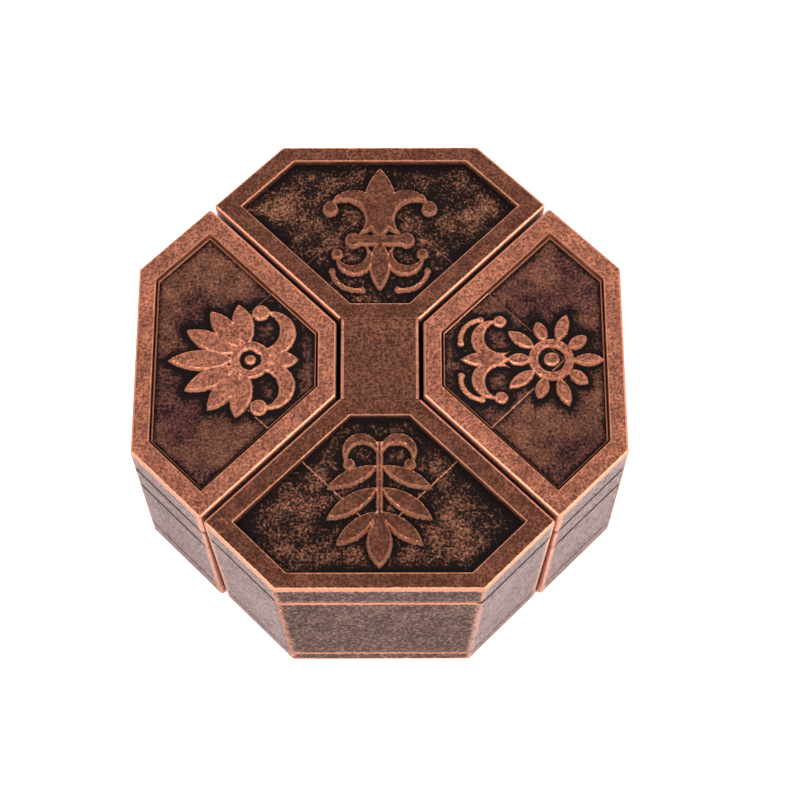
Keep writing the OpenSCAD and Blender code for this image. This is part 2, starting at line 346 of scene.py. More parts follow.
class Face:
    """The relief of a block's top face: rim, sunken panel, raised diamond and ornament.

    relief() gives, for points of the face, the height against the rim and three wear values: rub is 1
    where handling lays the copper bare, soot is 1 where the patina stays black, and the third is the
    face value, 1 on rims and ornament tops and 0 on sunken floors.
    """

    WALL = 0.12  # how far a panel's wall leans over its depth
    CREST = 0.1  # rounding of the rim's inner edge
    FLANK = 0.14  # how far an ornament's side leans over its height
    MARK_DEPTH = 0.05  # how deep an ejector mark is

    def __init__(self, sizes, depth, ornament=None, top=0.1, panel=True, marks=(), diamond=True, grid=None):
        self.sizes = sizes
        self.depth = depth
        self.ornament = ornament
        self.top = top  # how far an ornament's top lies under the rim
        self.panel = panel  # whether rims frame the floor
        self.diamond = 1.0 if diamond else 0.0
        self.grid = grid or sizes.grid
        self.marks = marks
        self.values = panel_values(sizes)

    def ornament_distance(self, x, y):
        if self.ornament is None:
            return np.full_like(x, 9.0)
        return self.ornament(x, y - self.sizes.ornament_place)

    def relief(self, x, y):
        sizes = self.sizes
        in_panel = -block_distance(x, y, *self.values)
        in_diamond = sizes.diamond_half - (y + np.abs(x)) / ROOT2
        step = smooth(0.5 + in_diamond / self.WALL)
        floor = -self.depth + sizes.diamond_step * step * self.diamond
        shape = self.ornament_distance(x, y)
        rise = smooth(-shape / self.FLANK)
        z = floor + (-self.top - floor) * rise
        if self.panel:
            z = z * smooth((in_panel + self.CREST) / (self.CREST + self.WALL))
        on_floor = (in_panel > 0.01) if self.panel else np.ones_like(x, bool)
        crest_rub = np.exp(-((in_panel + 0.1) / 0.08) ** 2) * (1.0 if self.panel else 0.0)
        step_rub = 0.78 * self.diamond * np.exp(-((in_diamond + 0.01) / 0.075) ** 2)
        step_rub = step_rub * (shape > 0.1) * on_floor
        shape_rub = np.exp(-((shape + 0.1) / 0.12) ** 2)
        rub = np.maximum.reduce([crest_rub, step_rub, shape_rub])
        spread = 1.1 if self.panel else 0.35
        near_wall = np.exp(-np.clip(in_panel - self.WALL, 0, None) / spread) * on_floor
        near_shape = np.exp(-np.clip(shape, 0, None) / 0.7)
        low_side = np.exp(-np.clip(-in_diamond, 0, None) / 0.4) * (in_diamond < 0) * self.diamond
        tip_side = 0.34 * smooth(-in_diamond / 0.3) * (1.0 if self.panel else 0.4) * self.diamond
        soot = np.maximum.reduce([near_wall, near_shape, 0.7 * low_side, tip_side]) * on_floor
        for mark_x, mark_y, radius in self.marks:
            edge = np.hypot(x - mark_x, y - mark_y) - radius
            z = z - self.MARK_DEPTH * smooth(0.5 - edge / 0.12)
            rub = np.maximum(rub, 0.6 * np.exp(-((edge - 0.05) / 0.07) ** 2))
        face_up = rise * on_floor + (1 - on_floor)
        soot = soot * (1 - face_up)
        return z, rub, soot, face_up

    def lines(self, low, high, marks):
        """Grid lines between two values, gathered round the marks."""
        lines = set(np.linspace(low, high, max(2, int((high - low) / self.grid))))
        for mark, wide in marks:
            near = [mark - wide, mark - wide / 2, mark, mark + wide / 2, mark + wide]
            lines = {v for v in lines if abs(v - mark) > wide + self.grid / 3} | set(near)
        lines = sorted(v for v in lines if low < v < high)
        return [low] + [v for v in lines if low + 0.02 < v < high - 0.02] + [high]


def face_grid(draft, top_z, inset, face):
    """The mesh of a block's top face inside its rounded edge, as a bmesh with flat vertices."""
    corners = draft.corners(top_z, inset)
    side = (corners[1][1] - corners[1][0]) / ROOT2
    corner = (corners[1][0] + corners[1][1]) / ROOT2
    flat, tip = corners[2][1], corners[0][1]
    panel_side, panel_tip, panel_corner, panel_flat = face.values
    marks = [(panel_side, 0.12), (panel_corner, 0.12), (face.sizes.diamond_half, 0.06)]
    lines = face.lines(side, corner, marks)
    n = len(lines)
    u, v = np.meshgrid(lines, lines, indexing="ij")
    x, y = ((u - v) / ROOT2).ravel(), ((u + v) / ROOT2).ravel()
    keep_low, keep_high = tip - 0.3, flat + 0.3
    mesh = bmesh.new()
    verts = {}

    def vert(k):
        if k not in verts:
            verts[k] = mesh.verts.new((x[k], y[k], 0))
        return verts[k]

    for i in range(n - 1):
        for j in range(n - 1):
            quad = (i * n + j, (i + 1) * n + j, (i + 1) * n + j + 1, i * n + j + 1)
            ys = y[list(quad)]
            if ys.max() > keep_low and ys.min() < keep_high:
                mesh.faces.new([vert(k) for k in quad])
    steps = (-face.CREST, -face.CREST / 2, 0, face.WALL / 2, face.WALL)
    cuts = [panel_flat - step for step in steps] + [panel_tip + step for step in steps]
    for place in [c for c in cuts if tip < c < flat]:
        everything = mesh.verts[:] + mesh.edges[:] + mesh.faces[:]
        bmesh.ops.bisect_plane(mesh, geom=everything, plane_co=(0, place, 0), plane_no=(0, 1, 0), dist=1e-5)
    for place, way in ((flat, 1), (tip, -1)):
        everything = mesh.verts[:] + mesh.edges[:] + mesh.faces[:]
        bmesh.ops.bisect_plane(
            mesh, geom=everything, plane_co=(0, place, 0), plane_no=(0, way, 0), dist=1e-5, clear_outer=True
        )
    bmesh.ops.remove_doubles(mesh, verts=mesh.verts[:], dist=1e-4)
    return mesh


def snap_to_outline(points, face, reach):
    """Moves the points that lie near an ornament's edge onto it, so that the edge comes out crisp."""
    x, y = points[:, 0], points[:, 1]
    d = face.ornament_distance(x, y)
    small = 0.01
    gx = (face.ornament_distance(x + small, y) - d) / small
    gy = (face.ornament_distance(x, y + small) - d) / small
    size = np.maximum(np.hypot(gx, gy), 1e-6)
    near = (np.abs(d) < reach) & (size > 0.8)
    points[near, 0] -= (d * gx / size)[near]
    points[near, 1] -= (d * gy / size)[near]


def plain_top(corners, high, spacing):
    """A flat top as points, wear and faces, and the index of each rim point by its edge and place on it."""
    points, wear, rim = [], [], {}
    for i in range(6):
        a, b = corners[i], corners[(i + 1) % 6]
        steps = max(2, int(np.hypot(*(b - a)) / spacing))
        for t in (k / steps for k in range(steps)):
            p = a * (1 - t) + b * t
            rim[(i, t)] = len(points)
            points.append((p[0], p[1], high))
            wear.append((0.6, 0.0, 1.0))
    return points, wear, [list(rim.values())], rim


def rim_place(p, corners):
    """The edge that a rim point lies on, and its place along that edge from 0 to 1."""
    best = None
    for i in range(6):
        a, b = corners[i], corners[(i + 1) % 6]
        length = np.hypot(*(b - a))
        along = float(np.dot(p - a, b - a)) / length
        off = abs(np.dot(p - a, EDGE_NORMALS[i]))
        if off < 1e-3 and -NEAR < along < length - NEAR and (best is None or off < best[0]):
            best = (off, i, 0.0 if along < NEAR else along / length)
    if best is None:
        raise RuntimeError(f"a rim point is off the outline: {p}")
    return best[1:]


def relief_top(draft, high, inset, face):
    """A Face's relief as points, wear and faces, and the index of each rim point as plain_top gives it."""
    corners = draft.corners(high, inset)
    mesh = face_grid(draft, high, inset, face)
    mesh.verts.ensure_lookup_table()
    flat = np.array([(v.co.x, v.co.y) for v in mesh.verts])
    edge_verts = sorted({v.index for e in mesh.edges if e.is_boundary for v in e.verts})
    inner = np.ones(len(flat), bool)
    inner[edge_verts] = False
    moved = flat.copy()
    snap_to_outline(moved, face, 0.42 * face.sizes.grid)
    flat[inner] = moved[inner]
    z, rub, soot, up = face.relief(flat[:, 0], flat[:, 1])
    if face.panel:
        z[edge_verts] = 0
    points = [(p[0], p[1], high + h) for p, h in zip(flat, z)]
    faces = [[v.index for v in f.verts] for f in mesh.faces]
    mesh.free()
    rim = {}
    for k in edge_verts:
        key = rim_place(flat[k], corners)
        if key in rim:
            raise RuntimeError(f"two rim points share one place: {key}")
        rim[key] = k
    return points, list(zip(rub, soot, up)), faces, dict(sorted(rim.items()))


class Wall:
    """The side of a casting between two heights, with rounded edges: its rows, and how they are worn."""

    TURNS = 4  # rows in a rounded edge
    FAN = 4  # strips in a rounded corner
    NONE = 9.0  # the distance to a seam that isn't there
    TOP_FADE = 0.35  # how fast the rubbing fades below the top edge
    LOW_FADE = 0.28  # and above the low edge
    CORNER_FADE = 0.6  # and beside a corner
    SEAM_BAND = 0.18  # how far from a seam the patina stays black
    SEAM_FADE = 0.1  # how fast it clears beyond that
    SLIT_FADE = 0.8  # how far a slit's corner keeps the seam from turning black

    def __init__(self, low, high, round_high, round_low, has_face, plain_tip):
        self.low = low
        self.high = high
        self.round_high = round_high
        self.round_low = round_low
        self.has_face = has_face  # a Face lies on top, where others have a seam
        self.plain_tip = plain_tip
        self.top = high - round_high
        self.bottom = low + round_low

    def rows(self, spacing):
        """Heights from the top down, each with how far it stands out of the inset outline."""
        rows = []
        for k in range(1, self.TURNS + 1):
            a = math.pi / 2 * k / self.TURNS
            rows.append((self.high - self.round_high * (1 - math.cos(a)), self.round_high * math.sin(a)))
        steps = max(2, int((self.top - self.bottom) / spacing))
        heights = [self.top + (self.bottom - self.top) * k / steps for k in range(1, steps)]
        heights += [self.top - 0.15, self.top - 0.3, self.bottom + 0.15, self.bottom + 0.3, self.bottom]
        rows += [(z, self.round_high) for z in sorted(heights, reverse=True)]
        for k in range(1, self.TURNS + 1):
            a = math.pi / 2 * k / self.TURNS
            out = self.round_high - self.round_low * (1 - math.cos(a))
            rows.append((self.bottom - self.round_low * math.sin(a), out))
        return rows

    def ring(self, rim):
        """Edge, place along it and outward normal of each point round the wall, fanned at corners."""
        ring = []
        for i, t in rim:
            if t > 0.0:
                ring.append((i, t, EDGE_NORMALS[i]))
                continue
            before, after = EDGE_NORMALS[i - 1], EDGE_NORMALS[i]
            for k in range(self.FAN + 1):
                n = before * (1 - k / self.FAN) + after * (k / self.FAN)
                ring.append((i, t, n / np.hypot(*n)))
        return ring

    def wear(self, edge, place, length, z):
        """rub, soot and face value of a point, from its edge, its place along it and its height."""
        if self.plain_tip and edge == TIP_EDGE and z > self.top - 0.3:
            return 0.1, 0.0, 1.0
        above, under = z - self.low, self.high - z
        top_seam = not self.has_face
        low_seam = self.low > 0
        if (top_seam and under < 0.35 * self.round_high) or (low_seam and above < 0.5 * self.round_low):
            return 0.0, 1.0, SIDE
        to_corner = min(place, 1 - place) * length
        at_slit = (edge in (0, 3) and place >= 0.5) or (edge in (1, 4) and place < 0.5)
        near_edge = np.exp(-max(under - self.round_high, 0) / self.TOP_FADE)
        near_low = 0.78 * np.exp(-max(above - self.round_low, 0) / self.LOW_FADE)
        near_corner = (0.85 if at_slit else 0.62) * np.exp(-to_corner / self.CORNER_FADE)
        # Straight walls keep the straight-wall soot value, which also gives them the darker painted sheen, a
        # painted shade.
        if edge == STRAIGHT_EDGE:
            return max(near_edge, near_low, near_corner), FLAT_SOOT_AND_SHADE, SIDE
        near_low = 0.3 * near_low
        near_edge = near_edge * (0.5 if top_seam else 1.0)
        to_seam = min(under if top_seam else self.NONE, above if low_seam else self.NONE)
        soot = 0.75 * np.exp(-max(to_seam - self.SEAM_BAND, 0) / self.SEAM_FADE)
        if at_slit:
            soot = soot * (1 - 0.9 * np.exp(-to_corner / self.SLIT_FADE))
        return max(near_edge, near_low, near_corner) * (1 - soot), soot, SIDE


def casting(draft, low, high, face=None, round_high=0.3, round_low=0.15, spacing=0.5, plain_tip=False):
    """A closed block between two heights, with rounded edges, as arrays of points, faces and wear.

    Its top is plain, or a Face's relief. Its side walls are rows of points that follow the draft.
    With plain_tip the edge of the tip isn't rubbed bright, because a bridge meets it there.
    """
    inset = round_high
    if face is None:
        points, wear, faces, rim = plain_top(draft.corners(high, inset), high, spacing)
    else:
        points, wear, faces, rim = relief_top(draft, high, inset, face)
    wall = Wall(low, high, round_high, round_low, face is not None, plain_tip)
    ring = wall.ring(rim)
    drop = {key: points[index][2] - high for key, index in rim.items()}
    previous = [rim[(i, t)] for i, t, _ in ring]
    count = len(ring)
    for z, out in wall.rows(spacing):
        shape = draft.corners(z, inset)
        sink = smooth((z - wall.top) / max(round_high, 1e-6))
        current = []
        for i, t, n in ring:
            a, b = shape[i], shape[(i + 1) % 6]
            p = a * (1 - t) + b * t + n * out
            current.append(len(points))
            points.append((p[0], p[1], z + drop[(i, t)] * sink))
            wear.append(wall.wear(i, t, np.hypot(*(b - a)), z))
        for k in range(count):
            a, b = previous[k], previous[(k + 1) % count]
            c, d = current[(k + 1) % count], current[k]
            faces.append([d, c, b, a] if a != b else [d, c, a])
        previous = current
    faces.append(previous[::-1])
    return np.array(points), faces, np.array(wear)


def turn_z(points, degrees):
    a = math.radians(degrees)
    c, s = math.cos(a), math.sin(a)
    x, y = points[:, 0].copy(), points[:, 1].copy()
    points[:, 0], points[:, 1] = x * c - y * s, x * s + y * c
    return points


def joined(parts):
    """Several (points, faces, wear) as one."""
    points, faces, wear, start = [], [], [], 0
    for p, f, w in parts:
        points.append(p)
        wear.append(w)
        faces += [[k + start for k in face] for face in f]
        start += len(p)
    return np.vstack(points), faces, np.vstack(wear)


def facing(way, part):
    """A casting that was drawn pointing north, turned its own way."""
    points, faces, wear = part
    return turn_z(points, WAYS[way]), faces, wear


def rounded_box(low, high, edge, rub=0.12):
    """A closed box with bevelled edges, as (points, faces, wear)."""
    mesh = bmesh.new()
    low, high = np.array(low, float), np.array(high, float)
    bmesh.ops.create_cube(mesh, size=1)
    for v in mesh.verts:
        v.co = Vector((low + high) / 2 + np.array(v.co) * (high - low))
    bmesh.ops.bevel(mesh, geom=mesh.edges[:], offset=edge, segments=3, affect="EDGES", profile=0.5)
    mesh.verts.ensure_lookup_table()
    points = np.array([tuple(v.co) for v in mesh.verts])
    faces = [[v.index for v in f.verts] for f in mesh.faces]
    mesh.free()
    return points, faces, np.tile((rub, 0.1, 0.7), (len(points), 1))


def make_object(name, part, material):
    """A smooth-shaded object at the origin, in metres, with its wear in three attributes."""
    points, faces, wear = part
    data = bpy.data.meshes.new(name)
    data.from_pydata([tuple(p) for p in points * MM], [], faces)
    data.validate()
    for k, label in enumerate(("rub", "soot", "face")):
        layer = data.attributes.new(label, "FLOAT", "POINT")
        layer.data.foreach_set("value", np.ascontiguousarray(wear[:, k], dtype=np.float32))
    data.materials.append(material)
    data.update()
    thing = bpy.data.objects.new(name, data)
    bpy.context.scene.collection.objects.link(thing)
    tidy_mesh(thing)
    return thing


def tidy_mesh(thing):
    """Points the faces outwards and shades them smooth with sharp creases."""
    mesh = bmesh.new()
    mesh.from_mesh(thing.data)
    bmesh.ops.recalc_face_normals(mesh, faces=mesh.faces[:])
    for face in mesh.faces:
        face.smooth = True
    for edge in mesh.edges:
        edge.smooth = edge.calc_face_angle(0) < math.radians(38)
    mesh.to_mesh(thing.data)
    mesh.free()


def bore(thing, start, stop, radius):
    """Drills a round hole through thing, from one point to another, in millimetres."""
    start, stop = Vector(start) * MM, Vector(stop) * MM
    mesh = bmesh.new()
    length = (stop - start).length
    bmesh.ops.create_cone(
        mesh, cap_ends=True, segments=64, radius1=radius * MM, radius2=radius * MM, depth=length
    )
    turn = (stop - start).to_track_quat("Z", "Y").to_matrix().to_4x4()
    mesh.transform(Matrix.Translation((start + stop) / 2) @ turn)
    data = bpy.data.meshes.new("drill")
    mesh.to_mesh(data)
    mesh.free()
    drill = bpy.data.objects.new("drill", data)
    bpy.context.scene.collection.objects.link(drill)
    cut = thing.modifiers.new("bore", "BOOLEAN")
    cut.operation = "DIFFERENCE"
    cut.solver = "EXACT"
    cut.object = drill
    depsgraph = bpy.context.evaluated_depsgraph_get()
    result = bpy.data.meshes.new_from_object(thing.evaluated_get(depsgraph))
    thing.modifiers.clear()
    old = thing.data
    name = old.name
    thing.data = result
    bpy.data.meshes.remove(old)
    result.name = name
    bpy.data.objects.remove(drill)
    tidy_mesh(thing)


def hand_over(piece, body, node):
    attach(piece, body)
    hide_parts(node)


# ---------------------------------------------------------------- turned parts


def turned_tree():
    """A Geometry Nodes group for a stepped, chamfered pin turned about Z, with its nose at 0.

    Its outline is a row of stations; each gives a height and a radius worked out from the inputs.
    """
    tree = bpy.data.node_groups.new("turned_pin", "GeometryNodeTree")
    for name in ("Nose Length", "Nose Radius", "Head Length", "Head Radius", "Chamfer"):
        socket = tree.interface.new_socket(name, in_out="INPUT", socket_type="NodeSocketFloat")
        socket.min_value = 0.0
        socket.subtype = "DISTANCE"
    tree.interface.new_socket("Segments", in_out="INPUT", socket_type="NodeSocketInt").min_value = 8
    tree.interface.new_socket("Material", in_out="INPUT", socket_type="NodeSocketMaterial")
    tree.interface.new_socket("Geometry", in_out="OUTPUT", socket_type="NodeSocketGeometry")
    given = add(tree, "NodeGroupInput").outputs
    nose, nose_r, head, head_r, chamfer = (given[k] for k in range(5))
    total = maths(tree, "ADD", nose, head)
    apart = 1e-5  # keeps the two stations of the shoulder from falling together
    shoulder = maths(tree, "ADD", nose, apart)
    stations = [
        (0.0, maths(tree, "SUBTRACT", nose_r, chamfer)),
        (chamfer, nose_r),
        (nose, nose_r),
        (shoulder, maths(tree, "SUBTRACT", head_r, chamfer)),
        (maths(tree, "ADD", nose, chamfer), head_r),
        (maths(tree, "SUBTRACT", total, chamfer), head_r),
        (total, maths(tree, "SUBTRACT", head_r, chamfer)),
    ]
    count = len(stations)
    index = add(tree, "GeometryNodeInputIndex").outputs[0]
    chosen = []
    for column in range(2):
        switch = add(tree, "GeometryNodeIndexSwitch", data_type="FLOAT")
        while len(switch.index_switch_items) < count:
            switch.index_switch_items.new()
        tree.links.new(index, switch.inputs["Index"])
        for k, station in enumerate(stations):
            value, socket = station[column], switch.inputs[k + 1]
            if isinstance(value, float):
                socket.default_value = value
            else:
                tree.links.new(value, socket)
        chosen.append(switch.outputs[0])
    height, radius = chosen
    line = add(tree, "GeometryNodeMeshLine", {"Count": count})
    place = add(tree, "ShaderNodeCombineXYZ", {"Z": height}).outputs[0]
    spread = add(tree, "GeometryNodeSetPosition", {"Geometry": line.outputs[0], "Position": place})
    curve = add(tree, "GeometryNodeMeshToCurve", {"Mesh": spread.outputs[0]})
    curve = add(tree, "GeometryNodeSetCurveRadius", {"Curve": curve.outputs[0], "Radius": radius})
    circle = add(tree, "GeometryNodeCurvePrimitiveCircle", {"Resolution": given["Segments"], "Radius": 1.0})
    swept = {"Curve": curve.outputs[0], "Profile Curve": circle.outputs["Curve"], "Fill Caps": True}
    solid = add(tree, "GeometryNodeCurveToMesh", swept)
    if "Scale" in solid.inputs:  # later versions take the radius here instead of from the curve
        tree.links.new(radius, solid.inputs["Scale"])
    real = add(tree, "GeometryNodeRealizeInstances", {"Geometry": solid.outputs[0]})
    made = add(tree, "GeometryNodeSetMaterial", {"Geometry": real.outputs[0], "Material": given["Material"]})
    add(tree, "NodeGroupOutput", {"Geometry": made.outputs[0]})
    return tree


def turned_pin(name, values, matrix):
    """A plain mesh of the turned pin with these inputs, moved by matrix."""
    tree = bpy.data.node_groups.get("turned_pin") or turned_tree()
    thing = bpy.data.objects.new(name, bpy.data.meshes.new(name))
    bpy.context.scene.collection.objects.link(thing)
    nodes = thing.modifiers.new("turned", "NODES")
    nodes.node_group = tree
    for item in tree.interface.items_tree:
        if item.in_out == "INPUT" and item.name in values:
            nodes[item.identifier] = values[item.name]
    depsgraph = bpy.context.evaluated_depsgraph_get()
    data = bpy.data.meshes.new_from_object(thing.evaluated_get(depsgraph))
    thing.modifiers.clear()
    old = thing.data
    thing.data = data
    bpy.data.meshes.remove(old)
    data.name = name
    data.transform(matrix)
    tidy_mesh(thing)
    return thing


# ---------------------------------------------------------------- materials


def linear(srgb):
    """A linear colour from an sRGB hex string or triple."""
    if isinstance(srgb, str):
        srgb = [int(srgb[i:i + 2], 16) / 255 for i in (1, 3, 5)]
    return [c / 12.92 if c <= 0.04045 else ((c + 0.055) / 1.055) ** 2.4 for c in srgb] + [1.0]


def add(tree, kind, inputs=(), **settings):
    """Adds a node. settings are its properties; inputs are (socket, value or output) pairs."""
    made = tree.nodes.new(kind)
    for name, value in settings.items():
        setattr(made, name, value)
    for socket, value in dict(inputs).items():
        if isinstance(value, bpy.types.NodeSocket):
            tree.links.new(value, made.inputs[socket])
        else:
            made.inputs[socket].default_value = value
    return made


def start_material(name):
    """An empty node tree with object coordinates and a Principled shader."""
    material = bpy.data.materials.new(name)
    material.use_nodes = True
    tree = material.node_tree
    tree.nodes.clear()
    shader = add(tree, "ShaderNodeBsdfPrincipled")
    out = add(tree, "ShaderNodeOutputMaterial", {"Surface": shader.outputs["BSDF"]})
    out.location = (400, 0)
    place = add(tree, "ShaderNodeTexCoord").outputs["Object"]
    return material, tree, shader, place


def noise(tree, place, size_mm, detail=3.0, rough=0.55, stretch=None):
    """Noise whose features are about size_mm across. stretch squeezes it along x, y and z."""
    if stretch:
        place = add(tree, "ShaderNodeMapping", {"Vector": place, "Scale": stretch}).outputs["Vector"]
    values = {"Vector": place, "Scale": 1 / (size_mm * MM), "Detail": detail, "Roughness": rough}
    return add(tree, "ShaderNodeTexNoise", values).outputs["Fac"]


def ramp(tree, value, low, high, to_low=0.0, to_high=1.0):
    """value from low to high, brought to another range and held at its ends."""
    values = {"Value": value, "From Min": low, "From Max": high, "To Min": to_low, "To Max": to_high}
    return add(tree, "ShaderNodeMapRange", values).outputs["Result"]


def maths(tree, operation, a, b=0.0):
    return add(tree, "ShaderNodeMath", {0: a, 1: b}, operation=operation).outputs[0]


def mix(tree, factor, a, b):
    values = {0: factor, 6: a, 7: b}
    return add(tree, "ShaderNodeMix", values, data_type="RGBA").outputs[2]


def attribute(tree, name):
    return add(tree, "ShaderNodeAttribute", attribute_name=name).outputs["Fac"]


def antique_copper(name, colours, tone, floor, sooty, cracked=False):
    """Antique copper: a copper plate on a zinc casting, blackened, then rubbed bright where hands reach.

    Rims and ornaments keep a granular warm copper, edges shine pinkish, hollows stay black and
    between them the rubbing leaves mottled brown. The side walls carry a painted sheen, pale pinkish
    grey, and a darker brown painted shade on the straight walls. tone darkens the copper, floor the
    mottling, and sooty is how little of the mottling shines.
    """
    material, tree, shader, place = start_material(name)
    rub = attribute(tree, "rub")
    soot = attribute(tree, "soot")
    face = attribute(tree, "face")
    grain = noise(tree, place, 0.26, 4, 0.65)
    speck = noise(tree, place, 0.19, 2, 0.6)
    cloud = noise(tree, place, 1.5, 4, 0.6)
    patch = noise(tree, place, 3.6, 3, 0.5)

    def shade(colour, amount):
        return [c * amount for c in linear(colour)[:3]] + [1.0]

    dull, lit = shade(colours.copper, 0.3 * tone), shade(colours.copper, 1.3 * tone)
    copper = mix(tree, ramp(tree, grain, 0.4, 0.6), dull, lit)
    copper = mix(tree, ramp(tree, cloud, 0.42, 0.64, 0.0, 0.5), copper, shade("#7a4a40", 0.7 * tone))
    copper = mix(tree, ramp(tree, speck, 0.57, 0.68, 0.0, 0.6), copper, shade("#1c1210", 1.0))

    # rubbing reaches the peaks of the grain first, and fewer of them where the patina lies thick
    thick, first, last = (0.5, 0.28, 0.74) if cracked else (0.25, 0.38, 0.66)
    brown, tan = ("#84504a", "#8f5c48") if cracked else ("#93604a", "#93604a")
    small = ramp(tree, cloud, 0.3, 0.7, -0.09, 0.09)
    large = ramp(tree, patch, 0.35, 0.65, -0.07, 0.07)
    side = ramp(tree, face, -0.9, -0.3, 1.0, 0.0)
    clumps = maths(tree, "ADD", small, large)
    clumps = maths(tree, "MULTIPLY", clumps, ramp(tree, side, 0.0, 1.0, 1.0, 0.35))
    level = maths(tree, "ADD", grain, clumps)
    level = maths(tree, "SUBTRACT", level, maths(tree, "MULTIPLY", soot, thick))
    peaks = ramp(tree, level, first, last)
    black = ramp(tree, peaks, 0.0, 0.5, 1.0, 0.0)
    mottling = mix(tree, ramp(tree, patch, 0.4, 0.6), shade(brown, floor), shade(tan, floor))
    stain = mix(tree, peaks, linear(colours.patina), mottling)
    bright = maths(tree, "MULTIPLY", ramp(tree, speck, 0.52, 0.62), ramp(tree, level, 0.45, 0.6))
    stain = mix(tree, maths(tree, "MULTIPLY", bright, 1 - sooty), stain, shade("#d08e72", floor))

    colour = mix(tree, face, stain, copper)
    # Painted sheen: on the side walls, where the patina is thin, streaks of a pale pinkish grey stand in for
    # the glow reflected from the white surroundings. Where the soot value reaches the straight-wall value, as
    # on the straight walls, the painted sheen is a darker brown, which is painted shade.
    clean = maths(tree, "MULTIPLY", ramp(tree, soot, 0.0, 0.5, 1.0, 0.0), side)
    lines = noise(tree, place, 0.17, 3, 0.7, stretch=(0.55, 0.55, 1.2))
    painted_sheen_mask = maths(tree, "MULTIPLY", ramp(tree, lines, 0.44, 0.56, 0.15, 0.9), clean)
    sheen = mix(tree, ramp(tree, soot, 0.0, FLAT_SOOT_AND_SHADE), linear("#887274"), linear("#724b41"))
    colour = mix(tree, painted_sheen_mask, colour, sheen)
    streaks = noise(tree, place, 0.18, 2, 0.6, stretch=(0.4, 0.4, 1.2))
    dark = maths(tree, "MULTIPLY", ramp(tree, streaks, 0.5, 0.58, 0.0, 0.8), side)
    colour = mix(tree, dark, colour, linear("#2a1b19"))
    if cracked:
        values = {"Vector": place, "Scale": 1 / (7 * MM)}
        cells = add(tree, "ShaderNodeTexVoronoi", values, feature="DISTANCE_TO_EDGE").outputs["Distance"]
        crack = maths(tree, "MULTIPLY", ramp(tree, cells, 0.0, 0.012, 0.4, 0.0), ramp(tree, patch, 0.47, 0.6))
        colour = mix(tree, crack, colour, linear("#1a100e"))
    bare = maths(tree, "ADD", rub, ramp(tree, grain, 0.3, 0.7, -0.25, 0.2))
    bare = ramp(tree, bare, 0.35, 0.95)
    colour = mix(tree, maths(tree, "MULTIPLY", bare, 0.85), colour, linear(colours.rubbed))

    tree.links.new(colour, shader.inputs["Base Color"])
    metal = maths(tree, "MAXIMUM", ramp(tree, black, 0.0, 1.0, 0.9, 0.25), bare)
    tree.links.new(metal, shader.inputs["Metallic"])
    shader.inputs["Specular IOR Level"].default_value = 0.03
    rough = ramp(tree, grain, 0.35, 0.65, 0.36, 0.52)
    rough = maths(tree, "ADD", rough, ramp(tree, black, 0.0, 1.0, 0.0, 0.2))
    tree.links.new(rough, shader.inputs["Roughness"])
    height = maths(tree, "ADD", maths(tree, "MULTIPLY", grain, 0.6), maths(tree, "MULTIPLY", speck, 0.4))
    bump = add(tree, "ShaderNodeBump", {"Strength": 0.5, "Distance": 0.06 * MM, "Height": height})
    tree.links.new(bump.outputs["Normal"], shader.inputs["Normal"])
    return material


def turned_metal(name, colour, dark):
    """Lathe-turned metal: fine rings from the tool, with a smooth sheen between them."""
    material, tree, shader, place = start_material(name)
    fine = noise(tree, place, 0.3, 3, 0.6)
    shade = mix(tree, ramp(tree, fine, 0.35, 0.7), linear(colour), linear(dark))
    tree.links.new(shade, shader.inputs["Base Color"])
    shader.inputs["Metallic"].default_value = 1.0
    tree.links.new(ramp(tree, fine, 0.3, 0.7, 0.22, 0.4), shader.inputs["Roughness"])
    return material


def studio_paper(name):
    """Matt white card, which gives a soft, even ground."""
    material, tree, shader, place = start_material(name)
    fine = noise(tree, place, 0.6, 2, 0.5)
    tree.links.new(mix(tree, fine, linear("#fbfbfb"), linear("#ffffff")), shader.inputs["Base Color"])
    shader.inputs["Roughness"].default_value = 0.9
    return material


MATERIALS = {}


def make_materials(colours):
    MATERIALS["cap"] = antique_copper("antique_copper_dark_caps", colours, 0.34, 0.7, 0.3)
    MATERIALS["rim"] = antique_copper("antique_copper_rims", colours, 0.85, 0.75, 0.2)
    MATERIALS["plate"] = antique_copper("antique_copper_plates", colours, 0.85, 0.82, 0.7, cracked=True)
    MATERIALS["wall"] = antique_copper("antique_copper_walls", colours, 0.8, 0.85, 0.3)
    MATERIALS["brass"] = turned_metal("turned_brass", "#b8924e", "#8a6a34")
    MATERIALS["steel"] = turned_metal("ground_steel", "#b4b6b8", "#85888c")


# ---------------------------------------------------------------- operators


def settings(context):
    """The sizes. The first call makes the materials too."""
    scene = context.scene
    if not MATERIALS:
        make_materials(scene.puzzle_colours)
    return scene.puzzle_sizes


def make_post(name, half, low, high):
    """Half of the centre post, a hair narrower than the CAD's so that no faces coincide."""
    reach = half - 0.03
    block = rounded_box((-reach, -reach, low), (reach, reach, high), 0.25)
    return make_object(name, block, MATERIALS["wall"])


